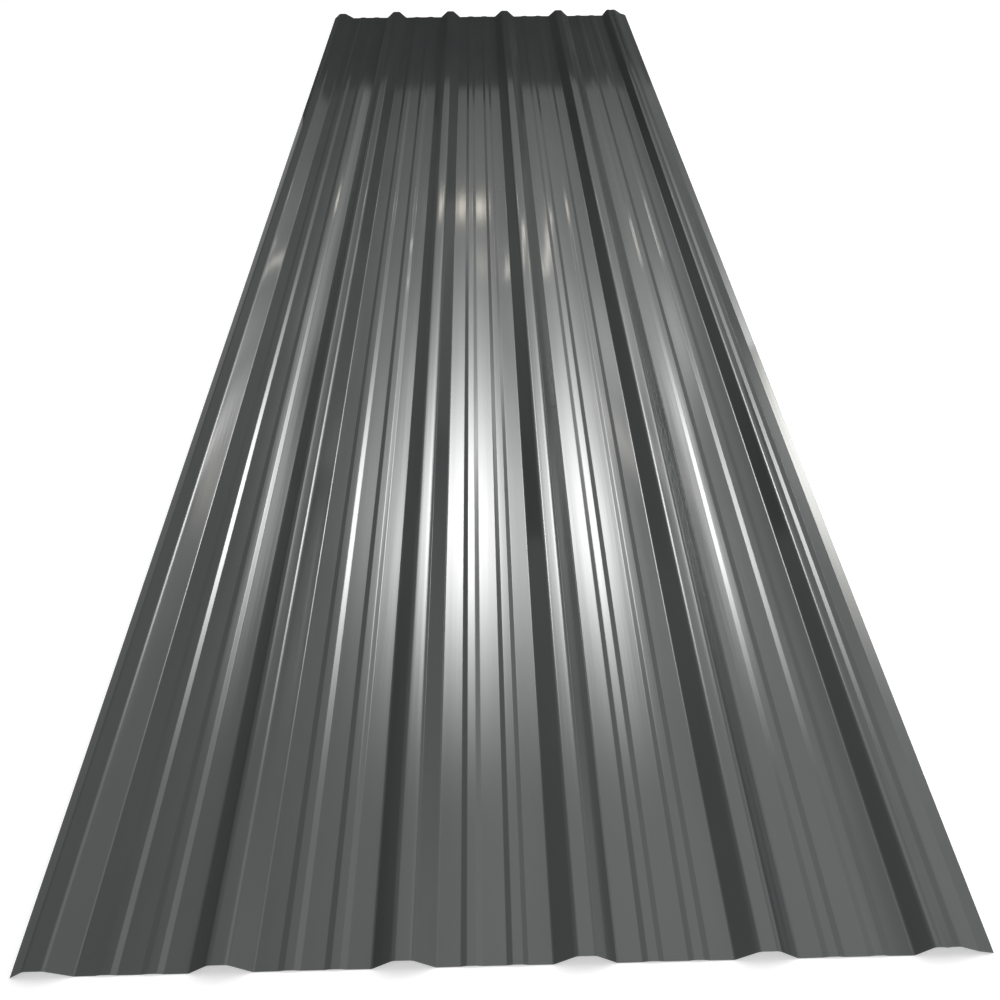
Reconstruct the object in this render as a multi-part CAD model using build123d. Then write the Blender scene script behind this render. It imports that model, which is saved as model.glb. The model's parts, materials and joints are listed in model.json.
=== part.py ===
from build123d import *
import os

# Roll-formed trapezoidal cladding sheet: one strip of thin steel bent into six ribs and five pans.
# Millimetres. +X runs across the sheet, +Y along its ribs and +Z up, and the pans lie on z = 0.
# The underlap rib is on the -X side. The overlap rib, which covers a neighbour's underlap, is at +X.

# The strip
sheet_length = 3500.0
sheet_thickness = 0.5

# Main ribs: heights are measured from the pan's surface to the same surface of the crown
rib_count = 6
rib_pitch = 205.0
rib_height = 21.0
rib_crown_width = 22.0
rib_base_width = 72.0
rib_crown_bend_radius = 10.0
rib_foot_bend_radius = 5.0

# The two shallow stiffeners that keep each pan flat
stiffener_height = 1.6
stiffener_crown_width = 11.0
stiffener_base_width = 25.0
stiffener_spacing = 52.0
stiffener_bend_radius = 6.0

# Underlap rib: lower than the others, with a long gentle inner web and a free outer leg
underlap_height = 16.0
underlap_crown_width = 22.0
underlap_inner_web_run = 30.0
underlap_outer_leg_run = 19.0

# Overlap rib: its crown reaches further to the left of the rib's centre than to the right. A groove runs
# along the crown, and the outer web ends in a lip that slopes down to the neighbour's pan.
overlap_crown_left = 19.0
overlap_crown_right = 10.0
overlap_bend_radius = 7.0
overlap_outer_web_run = 25.0
overlap_lip_top = 7.0
overlap_lip_width = 18.7
lap_clearance = 0.5
groove_centre_left = 5.0
groove_width = 12.0
groove_depth = 1.6
groove_bend_radius = 2.5


def bend(x, z, radius):
    """A corner of the strip's middle line. The radius is the one inside the bend."""
    return {"x": x, "z": z, "radius": radius}


def free_edge(x, z):
    return {"x": x, "z": z, "radius": None}


def trapezoid(centre, crown_width, base_width, height, crown_radius, foot_radius):
    """The four bends of a rib or stiffener that stands on the pan."""
    half_base = base_width / 2
    half_crown = crown_width / 2
    return [
        bend(centre - half_base, 0, foot_radius),
        bend(centre - half_crown, height, crown_radius),
        bend(centre + half_crown, height, crown_radius),
        bend(centre + half_base, 0, foot_radius),
    ]


def main_rib(centre):
    return trapezoid(centre, rib_crown_width, rib_base_width, rib_height,
                     rib_crown_bend_radius, rib_foot_bend_radius)


def pan_stiffeners(centre):
    """The pair of stiffeners on either side of a pan's middle."""
    bends = []
    for side in (-1, 1):
        stiffener_centre = centre + side * stiffener_spacing / 2
        bends += trapezoid(stiffener_centre, stiffener_crown_width, stiffener_base_width, stiffener_height,
                           stiffener_bend_radius, stiffener_bend_radius)
    return bends


def underlap_rib(centre):
    crown_left = centre - underlap_crown_width / 2
    crown_right = centre + underlap_crown_width / 2
    return [
        free_edge(crown_left - underlap_outer_leg_run, 0),
        bend(crown_left, underlap_height, rib_crown_bend_radius),
        bend(crown_right, underlap_height, rib_crown_bend_radius),
        bend(crown_right + underlap_inner_web_run, 0, rib_foot_bend_radius),
    ]


def crown_groove(centre):
    """The shallow channel along the overlap's crown, which stops water creeping through the lap."""
    return [
        bend(centre - groove_width / 2, rib_height, groove_bend_radius),
        bend(centre, rib_height - groove_depth, groove_bend_radius),
        bend(centre + groove_width / 2, rib_height, groove_bend_radius),
    ]


def overlap_rib(centre):
    crown_left = centre - overlap_crown_left
    crown_right = centre + overlap_crown_right
    lip_start = crown_right + overlap_outer_web_run
    lip_end_height = sheet_thickness + lap_clearance
    return [
        bend(centre - rib_base_width / 2, 0, rib_foot_bend_radius),
        bend(crown_left, rib_height, overlap_bend_radius),
        *crown_groove(centre - groove_centre_left),
        bend(crown_right, rib_height, overlap_bend_radius),
        bend(lip_start, overlap_lip_top, overlap_bend_radius),
        free_edge(lip_start + overlap_lip_width, lip_end_height),
    ]


def middle_line():
    """Every corner of the strip's middle line, from the underlap's free edge to the overlap's."""
    corners = underlap_rib(0)
    for index in range(1, rib_count):
        corners += pan_stiffeners((index - 0.5) * rib_pitch)
        rib = overlap_rib if index == rib_count - 1 else main_rib
        corners += rib(index * rib_pitch)
    return corners


def strip_face(corners, side):
    """One face of the strip: +1 is the upper one, -1 the lower, half a thickness off the middle line."""
    points = [Vector(corner["x"], corner["z"] + sheet_thickness / 2) for corner in corners]
    runs = [(end - start).normalized() for start, end in zip(points, points[1:])]
    normals = [Vector(-run.Y, run.X) for run in runs]
    offset = side * sheet_thickness / 2
    shifted = [points[0] + normals[0] * offset]
    radii = []
    for index in range(1, len(points) - 1):
        before, after = normals[index - 1], normals[index]
        shifted.append(points[index] + (before + after) * (offset / (1 + before.dot(after))))
        turns_up = runs[index - 1].cross(runs[index]).Z > 0
        is_inside = turns_up == (side > 0)
        radii.append(corners[index]["radius"] + (0 if is_inside else sheet_thickness))
    shifted.append(points[-1] + normals[-1] * offset)
    return FilletPolyline(*shifted, radius=radii)


def sheet_section():
    corners = middle_line()
    upper = strip_face(corners, 1)
    lower = strip_face(corners, -1)
    left_cut = Line(upper @ 0, lower @ 0)
    right_cut = Line(upper @ 1, lower @ 1)
    return make_face([*upper.edges(), *lower.edges(), left_cut, right_cut])


def corrugated_sheet():
    section = sheet_section()
    middle = section.bounding_box().center().X
    upright = Plane.XZ * Pos(-middle, 0) * section
    return extrude(upright, amount=sheet_length / 2, both=True)


os.makedirs("parts", exist_ok=True)
sheet = corrugated_sheet()
sheet.label = "corrugated_sheet"
export_step(sheet, "parts/corrugated_sheet.step")
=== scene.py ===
import json
import random
from math import floor, pi, radians, sin

import bpy
from mathutils import Euler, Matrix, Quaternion, Vector


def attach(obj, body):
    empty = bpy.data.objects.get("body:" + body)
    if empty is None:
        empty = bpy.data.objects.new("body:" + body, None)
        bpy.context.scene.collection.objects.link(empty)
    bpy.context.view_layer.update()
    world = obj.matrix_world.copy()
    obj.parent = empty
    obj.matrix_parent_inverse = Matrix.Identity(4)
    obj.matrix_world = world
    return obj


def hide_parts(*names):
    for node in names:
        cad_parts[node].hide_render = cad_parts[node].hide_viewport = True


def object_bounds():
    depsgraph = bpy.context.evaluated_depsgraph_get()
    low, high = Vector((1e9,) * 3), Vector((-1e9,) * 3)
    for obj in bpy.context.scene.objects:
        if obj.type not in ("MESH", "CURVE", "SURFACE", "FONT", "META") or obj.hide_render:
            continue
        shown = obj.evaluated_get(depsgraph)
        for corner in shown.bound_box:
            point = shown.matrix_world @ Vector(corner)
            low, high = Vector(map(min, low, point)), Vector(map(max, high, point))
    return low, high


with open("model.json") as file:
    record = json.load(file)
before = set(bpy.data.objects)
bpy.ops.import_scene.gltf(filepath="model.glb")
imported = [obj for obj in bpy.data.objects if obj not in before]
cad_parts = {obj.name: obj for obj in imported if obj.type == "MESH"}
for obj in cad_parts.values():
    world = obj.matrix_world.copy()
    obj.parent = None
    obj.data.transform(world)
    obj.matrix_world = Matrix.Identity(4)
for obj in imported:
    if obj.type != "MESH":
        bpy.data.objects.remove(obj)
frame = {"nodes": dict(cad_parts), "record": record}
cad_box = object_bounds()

# Metres, in the sheet's own frame: +X across it, +Y along its ribs and +Z up.
NODE = "corrugated_sheet"
RIB_PITCH = 0.205
RIB_BASE = 0.072
UNDERLAP_WEB_FOOT = 0.041
PAN_COUNT = 5
LAST_RIB_X = next(m["pos_m"][0] for m in frame["record"]["mounts"] if m["name"] == "side_lap")
HALF_LENGTH = cad_box[1].y

# How the section is read from the node's mesh: points this near the end belong to it, and points that agree
# to this many decimals are one point
END_DEPTH = 0.001
DECIMALS = 6

# How finely the sheet's own mesh is divided, and the angle in degrees past which its faces meet sharply
WIDEST_FACET = 0.0065
STATIONS = 88
SHARP_ANGLE = 40

# The pans arch upwards a little between the ribs. Two uneven curves along the sheet vary the arch's height
# and how much it leans to one side. Each curve has a seed and a longest wave.
ARCH_HEIGHT = 0.0006
ARCH_VARIATION = 0.0003
ARCH_LEAN = 0.35
HEIGHT_CURVE = (11, 1.9)
LEAN_CURVE = (31, 1.3)
WAVE_COUNT = 4
WAVE_SHORTENING = 0.7

# The photograph's viewpoint
VIEWPOINT = (-0.012, -2.183, 1.114)

# The far side of the set, which the sheet mirrors: dark up to a height, then lit
FAR_WALL_Y = 3.2
FAR_WALL_WIDTH = 26
DARK_TOP = 0.775
WALL_TOP = 14.0

# The light on the far wall is laid out for the photograph's viewpoint, along a fan of straight lines. They
# meet in the mirror image of that viewpoint in the sheet, given by its X and Z. Each line is named by the X
# where it crosses the sheet. The fan is fixed in the set and doesn't follow the camera.
FAN_FOOT = (VIEWPOINT[0], -VIEWPOINT[2])

# How the lit wall brightens. Each is a span of heights or of the fan's lines, and what its radiance or its
# share goes from and to over that span.
WALL_LOW_RISE = ((0.85, 2.2), (0.38, 1.38))
WALL_HIGH_RISE = ((2.4, 6.0), (0.0, 0.75))
WALL_LEFT_SHARE = ((-0.47, 0.0), (0.34, 1.0))
WALL_RIGHT_SHARE = ((0.44, 0.50), (1.0, 0.6))

# Soft glows and small glints on the far wall, set until the sheet mirrored them where the photograph has its
# highlights. Each is its line of the fan, its height on the wall, how far it reaches across the lines and up
# the wall, and its radiance.
WALL_GLOWS = [
    (-0.052, 4.15, 0.087, 1.3, 20.5),
    (-0.052, 5.70, 0.090, 1.5, 5.0),
    (0.148, 4.15, 0.058, 1.3, 19.0),
    (0.150, 5.70, 0.060, 1.5, 5.0),
    (-0.217, 3.9, 0.035, 1.3, 2.6),
    (-0.362, 3.9, 0.022, 2.0, 4.8),
    (0.270, 2.6, 0.042, 0.55, 2.2),
    (0.338, 4.3, 0.020, 1.5, 9.0),
    (0.350, 3.05, 0.020, 0.40, 3.6),
    (0.398, 2.45, 0.022, 0.45, 2.6),
]
WALL_GLINTS = [
    (-0.080, 1.47, 0.013, 0.06, 7.0),
    (-0.014, 1.48, 0.018, 0.06, 5.5),
    (0.013, 1.48, 0.006, 0.06, 3.5),
    (-0.114, 1.50, 0.010, 0.07, 5.5),
    (-0.014, 1.84, 0.020, 0.10, 1.4),
]
PLAIN = (1, 1, 1)
WARM = (1.06, 1.0, 0.84)
SLIGHTLY_WARM = (1.03, 1.0, 0.92)

# The dark band's faint light at its sides, as spans of the fan's lines, of heights and of X
DARK_LEFT_RISE = ((-0.48, -1.2), (0.0, 0.20))
DARK_LEFT_FOOT_SHARE = ((0.05, 0.2), (0.2, 1.0))
DARK_RIGHT_RISE = ((0.5, 0.95), (0.02, 0.10))
DARK_FAR_RIGHT_RISE = ((1.25, 1.45), (0.0, 0.14))

# Two narrow leaning lamps nearer than the wall, each given by its foot, its head and its radiance
GLINT_LAMP_Y = 2.4
GLINT_LAMP_WIDTH = 0.030
GLINT_LAMPS = [
    ((0.212, 1.22), (0.177, 1.48), 6.5),
    ((0.321, 1.13), (0.294, 1.48), 6.0),
]

# A long lamp that climbs along the far wall to its right end, where it is brightest. It starts to brighten at
# an X of its own.
CLIMBING_LAMP_FOOT = (1.3, 0.40)
CLIMBING_LAMP_HEAD = (3.0, 1.29)
CLIMBING_LAMP_HEIGHT = 0.26
CLIMBING_LAMP_GAP = 0.01
CLIMBING_LAMP_START = 0.9
CLIMBING_LAMP_POWER = 4.0
CLIMBING_LAMP_RADIANCE = (0.28, 5.1)

# A soft leaning glow nearer than the wall, in the middle of a card: where it is, how far it reaches sideways
# and upwards, how far it leans over for each metre of height, its radiance, and the card's width and height
LEANING_GLOW_Y = 1.5
LEANING_GLOW = (0.745, 1.95)
LEANING_GLOW_REACH = (0.055, 0.30)
LEANING_GLOW_LEAN = 0.64
LEANING_GLOW_RADIANCE = 3.0
LEANING_GLOW_CARD = (1.1, 1.4)

# The sides of the set: where they stand, their size, and how they brighten with height and along Y
LEFT_FLAG_X = -4.1
RIGHT_WALL_X = 3.0
SIDE_LENGTH = 8
SIDE_HEIGHT = 2.2
LEFT_FLAG_RISE = ((0.2, 1.0), (0.2, 0.47))
RIGHT_WALL_RISE = ((0.3, 2.0), (0.45, 1.0))
RIGHT_WALL_NEAR_SHARE = ((2.9, -0.2), (0.25, 1.5))

# Soft spots on the right wall. Each is its Y and Z, how far it reaches along both, and its light. Only the
# overlap's lip mirrors the last and brightest.
RIGHT_WALL_SPOTS = [
    (1.9, 0.2, 0.9, 0.25, (0.8, 0.8, 0.8)),
    (-0.7, 0.3, 1.0, 0.9, (0.4, 0.4, 0.4)),
    (1.95, 1.27, 1.05, 0.10, (12, 12, 11.5)),
]

# The floor, just under the sheet, and two cards on it, each given by the Y of its middle, its depth and its
# radiance
FLOOR_Z = -0.0005
FLOOR_SIZE = 60
FLOOR_SHADE = 0.86
FLOOR_LIFT_FOR_THE_LENS = 0.35
FLOOR_FLAG_Z = -0.0002
FLOOR_FLAG_WIDTH = 8.4
FLOOR_FLAGS = {
    "near_floor_flag": (-1.2, 4.0, 0.36),
    "far_floor_flag": (2.0, 2.4, 0.05),
}

# How strongly the world lights the sheet
AMBIENT = 0.6


def section_outline(node):
    """The sheet's section in order, counter-clockwise: the points where its long faces meet the near end."""
    vertices = node.data.vertices
    near = min(vertex.co.y for vertex in vertices)
    following = {}
    for face in node.data.polygons:
        points = [vertices[i].co for i in face.vertices]
        ends = [(round(p.x, DECIMALS), round(p.z, DECIMALS)) for p in points if p.y < near + END_DEPTH]
        if len(ends) == 2:
            following.setdefault(ends[0], []).append(ends[1])
            following.setdefault(ends[1], []).append(ends[0])
    loop = [min(following)]
    previous = None
    while True:
        step = next(p for p in following[loop[-1]] if p != previous)
        if step == loop[0]:
            break
        previous = loop[-1]
        loop.append(step)
    doubled_area = sum(a[0] * b[1] - b[0] * a[1] for a, b in zip(loop, loop[1:] + loop[:1]))
    return loop if doubled_area > 0 else loop[::-1]


def divided(loop):
    """The outline with its wide flats divided, and for each point whether its edge is upper, lower or cut."""
    by_x = sorted(loop)
    cut_corners = [set(by_x[:2]), set(by_x[-2:])]
    points = []
    kinds = []
    for a, b in zip(loop, loop[1:] + loop[:1]):
        length = ((b[0] - a[0]) ** 2 + (b[1] - a[1]) ** 2) ** 0.5
        pieces = floor(length / WIDEST_FACET) + 1
        kind = "cut" if {a, b} in cut_corners else "lower" if b[0] > a[0] else "upper"
        for index in range(pieces):
            share = index / pieces
            points.append((a[0] + (b[0] - a[0]) * share, a[1] + (b[1] - a[1]) * share))
            kinds.append(kind)
    return points, kinds


def pan_ends():
    """Where each pan starts and ends across the sheet, between the feet of its ribs."""
    first_rib = LAST_RIB_X - RIB_PITCH * PAN_COUNT
    for index in range(PAN_COUNT):
        left_foot = UNDERLAP_WEB_FOOT if index == 0 else RIB_BASE / 2
        yield first_rib + index * RIB_PITCH + left_foot, first_rib + (index + 1) * RIB_PITCH - RIB_BASE / 2


def waves(seed, longest):
    """A smooth uneven curve between -1 and 1, made of a few sines."""
    draw = random.Random(seed)
    parts = []
    for n in range(WAVE_COUNT):
        parts.append((longest / (1 + WAVE_SHORTENING * n), draw.uniform(0, 2 * pi), 1 / (n + 1)))
    total = sum(part[2] for part in parts)
    return lambda y: sum(size * sin(2 * pi * y / wave + phase) for wave, phase, size in parts) / total


def arch_at(pans):
    """How far a point of the sheet is lifted above its ideal section."""
    curves = []
    for index in range(len(pans)):
        (height_seed, height_wave), (lean_seed, lean_wave) = HEIGHT_CURVE, LEAN_CURVE
        curves.append((waves(height_seed + index, height_wave), waves(lean_seed + index, lean_wave)))

    def lift(x, y):
        for (left, right), (height_curve, lean_curve) in zip(pans, curves):
            if left < x < right:
                across = (x - left) / (right - left)
                bulge = 4 * across * (1 - across)
                lean = 1 + ARCH_LEAN * lean_curve(y) * (2 * across - 1)
                return bulge * lean * (ARCH_HEIGHT + ARCH_VARIATION * height_curve(y))
        return 0.0

    return lift


def make_sheet(node, paint, backing, bare):
    """The sheet itself: the node's section, run along its length with the pans arched."""
    points, kinds = divided(section_outline(node))
    lift = arch_at(list(pan_ends()))
    stations = [-HALF_LENGTH + 2 * HALF_LENGTH * k / (STATIONS - 1) for k in range(STATIONS)]
    vertices = [(x, y, z + lift(x, y)) for y in stations for x, z in points]
    across = len(points)
    faces = []
    slots = []
    slot_of = {"upper": 0, "lower": 1, "cut": 2}
    for k in range(STATIONS - 1):
        for i in range(across):
            j = (i + 1) % across
            faces.append((k * across + i, k * across + j, (k + 1) * across + j, (k + 1) * across + i))
            slots.append(slot_of[kinds[i]])
    near = list(range(across))
    far = [(STATIONS - 1) * across + i for i in range(across)]
    faces += [near[::-1], far]
    slots += [slot_of["cut"]] * 2
    mesh = bpy.data.meshes.new("rolled_sheet")
    mesh.from_pydata(vertices, [], faces)
    for material in (paint, backing, bare):
        mesh.materials.append(material)
    mesh.polygons.foreach_set("material_index", slots)
    mesh.polygons.foreach_set("use_smooth", [True] * len(faces))
    mesh.set_sharp_from_angle(angle=radians(SHARP_ANGLE))
    mesh.update()
    sheet = bpy.data.objects.new("rolled_sheet", mesh)
    bpy.context.scene.collection.objects.link(sheet)
    normals = sheet.modifiers.new("flats_stay_flat", "WEIGHTED_NORMAL")
    normals.keep_sharp = True
    normals.weight = 80
    return sheet


def new_material(name):
    material = bpy.data.materials.new(name)
    material.use_nodes = True
    tree = material.node_tree
    return material, tree.nodes, tree.links, tree.nodes["Principled BSDF"]


def grey(value, tint=PLAIN):
    return (value * tint[0], value * tint[1], value * tint[2], 1)


def stretched_noise(nodes, links, stretch, scale, detail=3, roughness=0.5):
    """A noise in the sheet's own coordinates, squeezed or stretched along each axis."""
    place = nodes.new("ShaderNodeTexCoord")
    mapping = nodes.new("ShaderNodeMapping")
    mapping.inputs["Scale"].default_value = stretch
    noise = nodes.new("ShaderNodeTexNoise")
    noise.inputs["Scale"].default_value = scale
    noise.inputs["Detail"].default_value = detail
    noise.inputs["Roughness"].default_value = roughness
    links.new(place.outputs["Object"], mapping.inputs["Vector"])
    links.new(mapping.outputs["Vector"], noise.inputs["Vector"])
    return noise.outputs["Fac"]


def remap(nodes, links, value, span, result):
    """Turns a value's span into the span of the result, and stays at the result's ends beyond it."""
    node = nodes.new("ShaderNodeMapRange")
    node.inputs["From Min"].default_value = span[0]
    node.inputs["From Max"].default_value = span[1]
    node.inputs["To Min"].default_value = result[0]
    node.inputs["To Max"].default_value = result[1]
    links.new(value, node.inputs["Value"])
    return node.outputs["Result"]


def combined(nodes, links, operation, value, other):
    """One sum or product of a value with a constant or with another value."""
    node = nodes.new("ShaderNodeMath")
    node.operation = operation
    links.new(value, node.inputs[0])
    if isinstance(other, (int, float)):
        node.inputs[1].default_value = other
    else:
        links.new(other, node.inputs[1])
    return node.outputs["Value"]


def mixed_colour(nodes, links, share, first, second):
    """A colour that goes from the first to the second as the share goes from 0 to 1."""
    mix = nodes.new("ShaderNodeMix")
    mix.data_type = "RGBA"
    mix.inputs["A"].default_value = first
    mix.inputs["B"].default_value = second
    links.new(share, mix.inputs["Factor"])
    return mix.outputs["Result"]


def paint_material():
    """Semi-gloss dark grey coil coating, with faint streaks along the rolling direction."""
    material, nodes, links, shader = new_material("dark_grey_coil_coating")
    streaks = stretched_noise(nodes, links, stretch=(1, 0.012, 1), scale=260, detail=4)
    smudges = stretched_noise(nodes, links, stretch=(1, 0.35, 1), scale=9, detail=5, roughness=0.6)
    peel = stretched_noise(nodes, links, stretch=(1, 1, 1), scale=420, detail=2)
    darker = grey(0.044, (0.92, 1.03, 1.02))
    lighter = grey(0.051, (0.94, 1.02, 1.01))
    share = remap(nodes, links, smudges, (0.3, 0.7), (0, 1))
    links.new(mixed_colour(nodes, links, share, darker, lighter), shader.inputs["Base Color"])
    fine_roughness = remap(nodes, links, streaks, (0.3, 0.7), (0.06, 0.085))
    broad_roughness = remap(nodes, links, smudges, (0.3, 0.7), (0.0, 0.015))
    links.new(combined(nodes, links, "ADD", fine_roughness, broad_roughness), shader.inputs["Roughness"])
    streak_height = remap(nodes, links, streaks, (0, 1), (0, 1))
    peel_height = remap(nodes, links, peel, (0, 1), (0, 0.35))
    bump = nodes.new("ShaderNodeBump")
    bump.inputs["Strength"].default_value = 0.2
    bump.inputs["Distance"].default_value = 0.0001
    links.new(combined(nodes, links, "ADD", streak_height, peel_height), bump.inputs["Height"])
    links.new(bump.outputs["Normal"], shader.inputs["Normal"])
    return material


def backing_material():
    """Thin pale grey coat on the underside."""
    material, nodes, links, shader = new_material("pale_backing_coat")
    blotches = stretched_noise(nodes, links, stretch=(1, 0.2, 1), scale=14, detail=4)
    darker = grey(0.36, (0.99, 1.0, 1.0))
    lighter = grey(0.44)
    share = remap(nodes, links, blotches, (0.3, 0.7), (0, 1))
    links.new(mixed_colour(nodes, links, share, darker, lighter), shader.inputs["Base Color"])
    links.new(remap(nodes, links, blotches, (0.3, 0.7), (0.38, 0.52)), shader.inputs["Roughness"])
    return material


def bare_material():
    """Sheared galvanised steel along the cut edges."""
    material, nodes, links, shader = new_material("sheared_galvanised_edge")
    shader.inputs["Metallic"].default_value = 0.85
    grain = stretched_noise(nodes, links, stretch=(1, 1, 1), scale=900)
    darker = grey(0.34, (0.98, 1.0, 1.0))
    lighter = grey(0.62)
    share = remap(nodes, links, grain, (0.35, 0.65), (0, 1))
    links.new(mixed_colour(nodes, links, share, darker, lighter), shader.inputs["Base Color"])
    links.new(remap(nodes, links, grain, (0.35, 0.65), (0.3, 0.5)), shader.inputs["Roughness"])
    return material


def make_camera():
    """The photograph's view: from above the near end, looking down along the sheet."""
    down = radians(42.70)
    turned_right = radians(1.13)
    rolled = radians(-0.27)
    focal_share = 0.953
    data = bpy.data.cameras.new("camera")
    data.sensor_width = 36
    data.lens = data.sensor_width * focal_share
    camera = bpy.data.objects.new("camera", data)
    camera.location = VIEWPOINT
    camera.rotation_mode = "QUATERNION"
    aim = Euler((pi / 2 - down, 0, -turned_right)).to_quaternion()
    camera.rotation_quaternion = aim @ Quaternion((0, 0, 1), rolled)
    bpy.context.scene.collection.objects.link(camera)
    bpy.context.scene.camera = camera


def white_for_the_lens(nodes, links):
    """1 for camera, glossy and transmission rays, 0 for the rays that light things."""
    path = nodes.new("ShaderNodeLightPath")
    total = path.outputs["Is Camera Ray"]
    for name in ("Is Glossy Ray", "Is Transmission Ray"):
        adder = nodes.new("ShaderNodeMath")
        adder.operation = "ADD"
        adder.use_clamp = True
        links.new(total, adder.inputs[0])
        links.new(path.outputs[name], adder.inputs[1])
        total = adder.outputs["Value"]
    return total


def make_world():
    world = bpy.data.worlds.new("studio")
    bpy.context.scene.world = world
    world.use_nodes = True
    nodes, links = world.node_tree.nodes, world.node_tree.links
    background = nodes["Background"]
    background.inputs["Color"].default_value = (*PLAIN, 1)
    share = white_for_the_lens(nodes, links)
    links.new(remap(nodes, links, share, (0, 1), (AMBIENT, 1)), background.inputs["Strength"])


def make_plane(name, centre, normal, width, height, material):
    """A flat card of that size, facing along normal."""
    mesh = bpy.data.meshes.new(name)
    w, h = width / 2, height / 2
    mesh.from_pydata([(-w, -h, 0), (w, -h, 0), (w, h, 0), (-w, h, 0)], [], [(0, 1, 2, 3)])
    mesh.materials.append(material)
    card = bpy.data.objects.new(name, mesh)
    card.location = centre
    card.rotation_mode = "QUATERNION"
    card.rotation_quaternion = Vector(normal).to_track_quat("Z", "Y")
    bpy.context.scene.collection.objects.link(card)
    return card


def make_upright_card(name, y, corners, material):
    """A flat card that faces the sheet's far end, given by the X and Z of its four corners."""
    mesh = bpy.data.meshes.new(name)
    mesh.from_pydata([(x, y, z) for x, z in corners], [], [(0, 1, 2, 3)])
    mesh.materials.append(material)
    card = bpy.data.objects.new(name, mesh)
    bpy.context.scene.collection.objects.link(card)
    return card


def seen_in_gloss_only(card):
    """A card that shapes the reflections: the lens doesn't see it, and it casts no shade."""
    card.visible_camera = False
    card.visible_diffuse = False
    card.visible_shadow = False


def make_floor():
    material, nodes, links, shader = new_material("pale_floor")
    shader.inputs["Base Color"].default_value = grey(FLOOR_SHADE)
    shader.inputs["Roughness"].default_value = 0.9
    shader.inputs["Specular IOR Level"].default_value = 0.1
    shader.inputs["Emission Color"].default_value = (*PLAIN, 1)
    path = nodes.new("ShaderNodeLightPath")
    lift = remap(nodes, links, path.outputs["Is Camera Ray"], (0, 1), (0, FLOOR_LIFT_FOR_THE_LENS))
    links.new(lift, shader.inputs["Emission Strength"])
    make_plane("floor", (0, 0, FLOOR_Z), (0, 0, 1), FLOOR_SIZE, FLOOR_SIZE, material)


def card_material(name):
    """A black card whose only light is what it emits."""
    material, nodes, links, shader = new_material(name)
    shader.inputs["Base Color"].default_value = (0, 0, 0, 1)
    shader.inputs["Roughness"].default_value = 1
    shader.inputs["Specular IOR Level"].default_value = 0
    shader.inputs["Emission Color"].default_value = (*PLAIN, 1)
    return material, nodes, links, shader


def plain_card_material(name, radiance, tint=PLAIN):
    """A black card that glows evenly."""
    material, _, _, shader = card_material(name)
    shader.inputs["Emission Color"].default_value = (*tint, 1)
    shader.inputs["Emission Strength"].default_value = radiance
    return material


def vector_step(nodes, links, operation, value, other):
    """One vector sum or product with a constant."""
    node = nodes.new("ShaderNodeVectorMath")
    node.operation = operation
    node.inputs[1].default_value = other
    links.new(value, node.inputs[0])
    return node.outputs["Vector"]


def soft_spot(nodes, links, place, centre, reach):
    """A bell of 1 at a point, which fades over its reach, but not along an axis whose reach is None."""
    away = vector_step(nodes, links, "SUBTRACT", place, centre)
    away = vector_step(nodes, links, "MULTIPLY", away, [1 / r if r else 0 for r in reach])
    square = nodes.new("ShaderNodeVectorMath")
    square.operation = "DOT_PRODUCT"
    links.new(away, square.inputs[0])
    links.new(away, square.inputs[1])
    falling = combined(nodes, links, "MULTIPLY", square.outputs["Value"], -1.0)
    bell = nodes.new("ShaderNodeMath")
    bell.operation = "EXPONENT"
    links.new(falling, bell.inputs[0])
    return bell.outputs["Value"]


def tinted(nodes, links, value, radiance):
    """A value turned into light of that red, green and blue."""
    node = nodes.new("ShaderNodeVectorMath")
    node.operation = "SCALE"
    node.inputs[0].default_value = radiance
    links.new(value, node.inputs["Scale"])
    return node.outputs["Vector"]


def summed(nodes, links, layers):
    """The sum of several layers of light."""
    total = layers[0]
    for layer in layers[1:]:
        adder = nodes.new("ShaderNodeVectorMath")
        adder.operation = "ADD"
        links.new(total, adder.inputs[0])
        links.new(layer, adder.inputs[1])
        total = adder.outputs["Vector"]
    return total


def set_place(nodes, links):
    """Where a point is in the set, and its three parts."""
    place = nodes.new("ShaderNodeNewGeometry").outputs["Position"]
    split = nodes.new("ShaderNodeSeparateXYZ")
    links.new(place, split.inputs["Vector"])
    return place, split.outputs


def flat_place(nodes, links, across, up):
    """Two values as the X and Y of one place."""
    joined = nodes.new("ShaderNodeCombineXYZ")
    links.new(across, joined.inputs["X"])
    links.new(up, joined.inputs["Y"])
    return joined.outputs["Vector"]


def fan_line(nodes, links, parts):
    """Which line of the fan passes through a point of the far wall, by the X where it crosses the sheet."""
    foot_x, foot_z = FAN_FOOT
    sideways = combined(nodes, links, "ADD", parts["X"], -foot_x)
    upwards = combined(nodes, links, "ADD", parts["Z"], -foot_z)
    share = combined(nodes, links, "DIVIDE", sideways, upwards)
    scaled = combined(nodes, links, "MULTIPLY", share, -foot_z)
    return combined(nodes, links, "ADD", scaled, foot_x)


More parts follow.
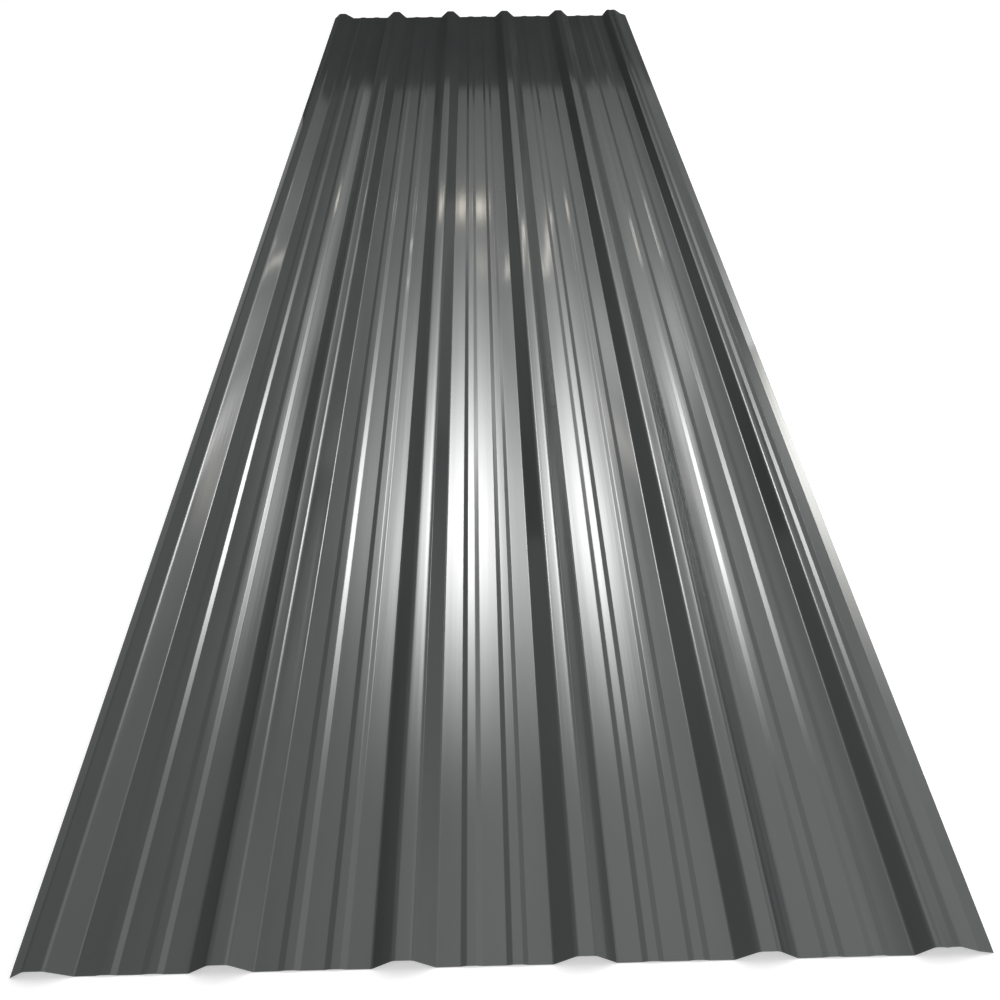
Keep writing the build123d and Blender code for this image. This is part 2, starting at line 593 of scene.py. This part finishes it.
def lit_wall_material():
    """A wall that brightens upwards and to the right, with soft glows and small warm glints."""
    material, nodes, links, shader = card_material("lit_wall")
    _, parts = set_place(nodes, links)
    line = fan_line(nodes, links, parts)
    place = flat_place(nodes, links, line, parts["Z"])
    low = remap(nodes, links, parts["Z"], *WALL_LOW_RISE)
    high = remap(nodes, links, parts["Z"], *WALL_HIGH_RISE)
    glow = combined(nodes, links, "ADD", low, high)
    glow = combined(nodes, links, "MULTIPLY", glow, remap(nodes, links, line, *WALL_LEFT_SHARE))
    glow = combined(nodes, links, "MULTIPLY", glow, remap(nodes, links, line, *WALL_RIGHT_SHARE))
    layers = [tinted(nodes, links, glow, PLAIN)]
    for spots, tint in ((WALL_GLOWS, PLAIN), (WALL_GLINTS, WARM)):
        for line_x, z, line_reach, z_reach, radiance in spots:
            bell = soft_spot(nodes, links, place, (line_x, z, 0), (line_reach, z_reach, None))
            layers.append(tinted(nodes, links, bell, [radiance * part for part in tint]))
    links.new(summed(nodes, links, layers), shader.inputs["Emission Color"])
    shader.inputs["Emission Strength"].default_value = 1
    return material


def side_wall_material():
    """The right side of the set: a pale glow with a few soft spots."""
    material, nodes, links, shader = card_material("side_wall")
    place, parts = set_place(nodes, links)
    glow = remap(nodes, links, parts["Z"], *RIGHT_WALL_RISE)
    glow = combined(nodes, links, "MULTIPLY", glow, remap(nodes, links, parts["Y"], *RIGHT_WALL_NEAR_SHARE))
    layers = [tinted(nodes, links, glow, PLAIN)]
    for y, z, y_reach, z_reach, light in RIGHT_WALL_SPOTS:
        bell = soft_spot(nodes, links, place, (RIGHT_WALL_X, y, z), (None, y_reach, z_reach))
        layers.append(tinted(nodes, links, bell, light))
    links.new(summed(nodes, links, layers), shader.inputs["Emission Color"])
    shader.inputs["Emission Strength"].default_value = 1
    return material


def far_flag_material():
    """Nearly black in front of the sheet's end, and dim further out to both sides."""
    material, nodes, links, shader = card_material("far_flag")
    _, parts = set_place(nodes, links)
    left = remap(nodes, links, fan_line(nodes, links, parts), *DARK_LEFT_RISE)
    foot = remap(nodes, links, parts["Z"], *DARK_LEFT_FOOT_SHARE)
    left = combined(nodes, links, "MULTIPLY", left, foot)
    right = remap(nodes, links, parts["X"], *DARK_RIGHT_RISE)
    far_right = remap(nodes, links, parts["X"], *DARK_FAR_RIGHT_RISE)
    total = combined(nodes, links, "ADD", combined(nodes, links, "ADD", left, right), far_right)
    links.new(total, shader.inputs["Emission Strength"])
    return material


def left_flag_material():
    """The dim left side of the set, a little lighter higher up."""
    material, nodes, links, shader = card_material("left_flag")
    _, parts = set_place(nodes, links)
    links.new(remap(nodes, links, parts["Z"], *LEFT_FLAG_RISE), shader.inputs["Emission Strength"])
    return material


def climbing_lamp_material():
    """Faint at its foot, and rising steeply towards its head."""
    material, nodes, links, shader = card_material("climbing_lamp")
    _, parts = set_place(nodes, links)
    share = remap(nodes, links, parts["X"], (CLIMBING_LAMP_START, CLIMBING_LAMP_HEAD[0]), (0.0, 1.0))
    steep = combined(nodes, links, "POWER", share, CLIMBING_LAMP_POWER)
    links.new(remap(nodes, links, steep, (0, 1), CLIMBING_LAMP_RADIANCE), shader.inputs["Emission Strength"])
    return material


def leaning_glow_material():
    """Clear, but for one soft leaning glow that adds to what is behind it."""
    material, nodes, links, shader = card_material("leaning_glow")
    nodes.remove(shader)
    _, parts = set_place(nodes, links)
    middle_x, middle_z = LEANING_GLOW
    up = combined(nodes, links, "ADD", parts["Z"], -middle_z)
    lean = combined(nodes, links, "MULTIPLY", up, -LEANING_GLOW_LEAN)
    across = combined(nodes, links, "ADD", combined(nodes, links, "ADD", parts["X"], lean), -middle_x)
    place = flat_place(nodes, links, across, up)
    bell = soft_spot(nodes, links, place, (0, 0, 0), (*LEANING_GLOW_REACH, None))
    light = nodes.new("ShaderNodeEmission")
    light.inputs["Color"].default_value = (*SLIGHTLY_WARM, 1)
    links.new(remap(nodes, links, bell, (0, 1), (0, LEANING_GLOW_RADIANCE)), light.inputs["Strength"])
    clear = nodes.new("ShaderNodeBsdfTransparent")
    added = nodes.new("ShaderNodeAddShader")
    links.new(light.outputs["Emission"], added.inputs[0])
    links.new(clear.outputs["BSDF"], added.inputs[1])
    links.new(added.outputs["Shader"], nodes["Material Output"].inputs["Surface"])
    return material


def make_far_wall():
    """The far side of the set: dark low down, and above it the lit wall."""
    y = FAR_WALL_Y
    towards_sheet = (0, -1, 0)
    flag = far_flag_material()
    seen_in_gloss_only(
        make_plane("far_flag", (0, y, DARK_TOP / 2), towards_sheet, FAR_WALL_WIDTH, DARK_TOP, flag)
    )
    height = WALL_TOP - DARK_TOP
    wall = lit_wall_material()
    seen_in_gloss_only(
        make_plane("lit_wall", (0, y, DARK_TOP + height / 2), towards_sheet, FAR_WALL_WIDTH, height, wall)
    )


def make_climbing_lamp():
    """The lamp that runs along the far wall."""
    half = CLIMBING_LAMP_HEIGHT / 2
    (x0, z0), (x1, z1) = CLIMBING_LAMP_FOOT, CLIMBING_LAMP_HEAD
    corners = [(x0, z0 - half), (x1, z1 - half), (x1, z1 + half), (x0, z0 + half)]
    y = FAR_WALL_Y - CLIMBING_LAMP_GAP
    seen_in_gloss_only(make_upright_card("climbing_lamp", y, corners, climbing_lamp_material()))


def make_glint_lamps():
    """The narrow leaning lamps that stand in front of the far wall."""
    half = GLINT_LAMP_WIDTH / 2
    for index, ((x0, z0), (x1, z1), radiance) in enumerate(GLINT_LAMPS):
        name = f"glint_lamp_{index + 1}"
        corners = [(x0 - half, z0), (x0 + half, z0), (x1 + half, z1), (x1 - half, z1)]
        lamp = plain_card_material(name, radiance, SLIGHTLY_WARM)
        seen_in_gloss_only(make_upright_card(name, GLINT_LAMP_Y, corners, lamp))


def make_leaning_glow():
    """The clear card that carries the leaning glow, wide enough for the glow to fade out on it."""
    x, z = LEANING_GLOW
    half_width, half_height = LEANING_GLOW_CARD[0] / 2, LEANING_GLOW_CARD[1] / 2
    left, right = x - half_width, x + half_width
    low, high = z - half_height, z + half_height
    corners = [(left, low), (right, low), (right, high), (left, high)]
    seen_in_gloss_only(make_upright_card("leaning_glow", LEANING_GLOW_Y, corners, leaning_glow_material()))


def make_side_cards():
    """Cards at the sides and on the floor: the sheet's sides mirror them and not the white set."""
    middle = SIDE_HEIGHT / 2
    sides = [
        ("left_flag", LEFT_FLAG_X, (1, 0, 0), left_flag_material()),
        ("right_wall", RIGHT_WALL_X, (-1, 0, 0), side_wall_material()),
    ]
    for name, x, normal, material in sides:
        seen_in_gloss_only(make_plane(name, (x, 0, middle), normal, SIDE_LENGTH, SIDE_HEIGHT, material))
    for name, (y, depth, radiance) in FLOOR_FLAGS.items():
        material = plain_card_material(name, radiance)
        centre = (0, y, FLOOR_FLAG_Z)
        seen_in_gloss_only(make_plane(name, centre, (0, 0, 1), FLOOR_FLAG_WIDTH, depth, material))


def make_softbox(name, centre, aim, width, height, radiance):
    """An area lamp given by how bright its face looks. Only diffuse light comes from it."""
    data = bpy.data.lights.new(name, "AREA")
    data.shape = "RECTANGLE"
    data.size = width
    data.size_y = height
    data.energy = radiance * width * height * pi
    lamp = bpy.data.objects.new(name, data)
    lamp.location = centre
    direction = Vector(aim) - Vector(centre)
    lamp.rotation_mode = "QUATERNION"
    lamp.rotation_quaternion = direction.to_track_quat("-Z", "Y")
    lamp.visible_camera = False
    lamp.visible_glossy = False
    bpy.context.scene.collection.objects.link(lamp)


def make_lamps():
    """Two soft lamps whose faces the sheet doesn't mirror: one overhead, one low at the right."""
    make_softbox("overhead", centre=(0, 0.1, 5.6), aim=(0, -0.4, 0), width=6.4, height=3.6, radiance=0.9)
    make_softbox("right", centre=(2.6, -0.3, 1.5), aim=(0, -0.3, 0), width=3.2, height=1.6, radiance=3.6)


node = frame["nodes"][NODE]
paint = paint_material()
sheet = make_sheet(node, paint, backing_material(), bare_material())
node.data.materials.clear()
node.data.materials.append(paint)
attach(sheet, "root")
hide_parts(NODE)
make_camera()
make_world()
make_floor()
make_far_wall()
make_climbing_lamp()
make_glint_lamps()
make_leaning_glow()
make_side_cards()
make_lamps()
bpy.context.scene.view_settings.view_transform = "Standard"
